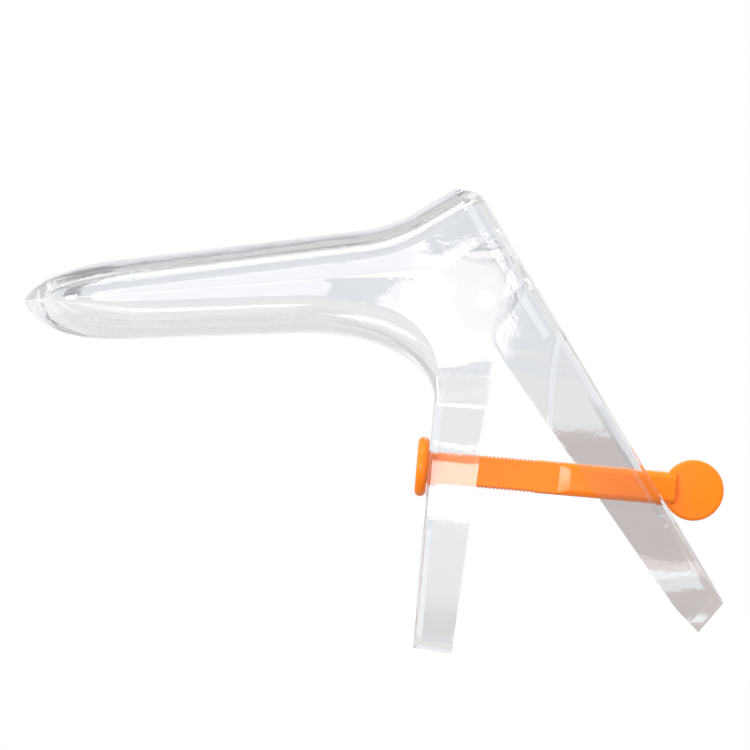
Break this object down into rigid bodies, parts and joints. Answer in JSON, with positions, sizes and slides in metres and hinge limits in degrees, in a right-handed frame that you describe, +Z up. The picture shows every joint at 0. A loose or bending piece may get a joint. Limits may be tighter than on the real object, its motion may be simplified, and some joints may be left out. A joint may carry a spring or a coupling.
{
  "type": "bivalve speculum",
  "caption": "Clear plastic bivalve speculum: two hinged leaves with channel handles, held apart by an orange quarter-turn lock rod.",
  "frame": {"origin": "bottom centre of the bounding box, on the floor under the middle of the length", "axes": "+Z up with the handles hanging down; the closed blades point to -X; Y is the width, and the part is symmetric about the XZ plane"},
  "size_m": [0.1835, 0.036, 0.1211],
  "materials": {
    "clear_plastic": "clear polished injection-moulded polystyrene",
    "orange_plastic": "opaque glossy injection-moulded plastic"
  },
  "bodies": {
    "lower_leaf": {"lower_leaf": "clear_plastic"},
    "upper_leaf": {"upper_leaf": "clear_plastic"},
    "lock_rod": {"lock_rod": "orange_plastic"}
  },
  "joints": [
    {"name": "blade_hinge", "type": "hinge", "parent": "lower_leaf", "child": "upper_leaf", "pos_m": [0.029, 0, 0.0919], "axis": [0, 1, 0], "range_deg": [0, 36]},
    {"name": "rod_turn", "type": "hinge", "parent": "lower_leaf", "child": "lock_rod", "pos_m": [0.0508, 0, 0.0448], "axis": [0.9962, 0, -0.0872], "range_deg": [-90, 90]}
  ]
}
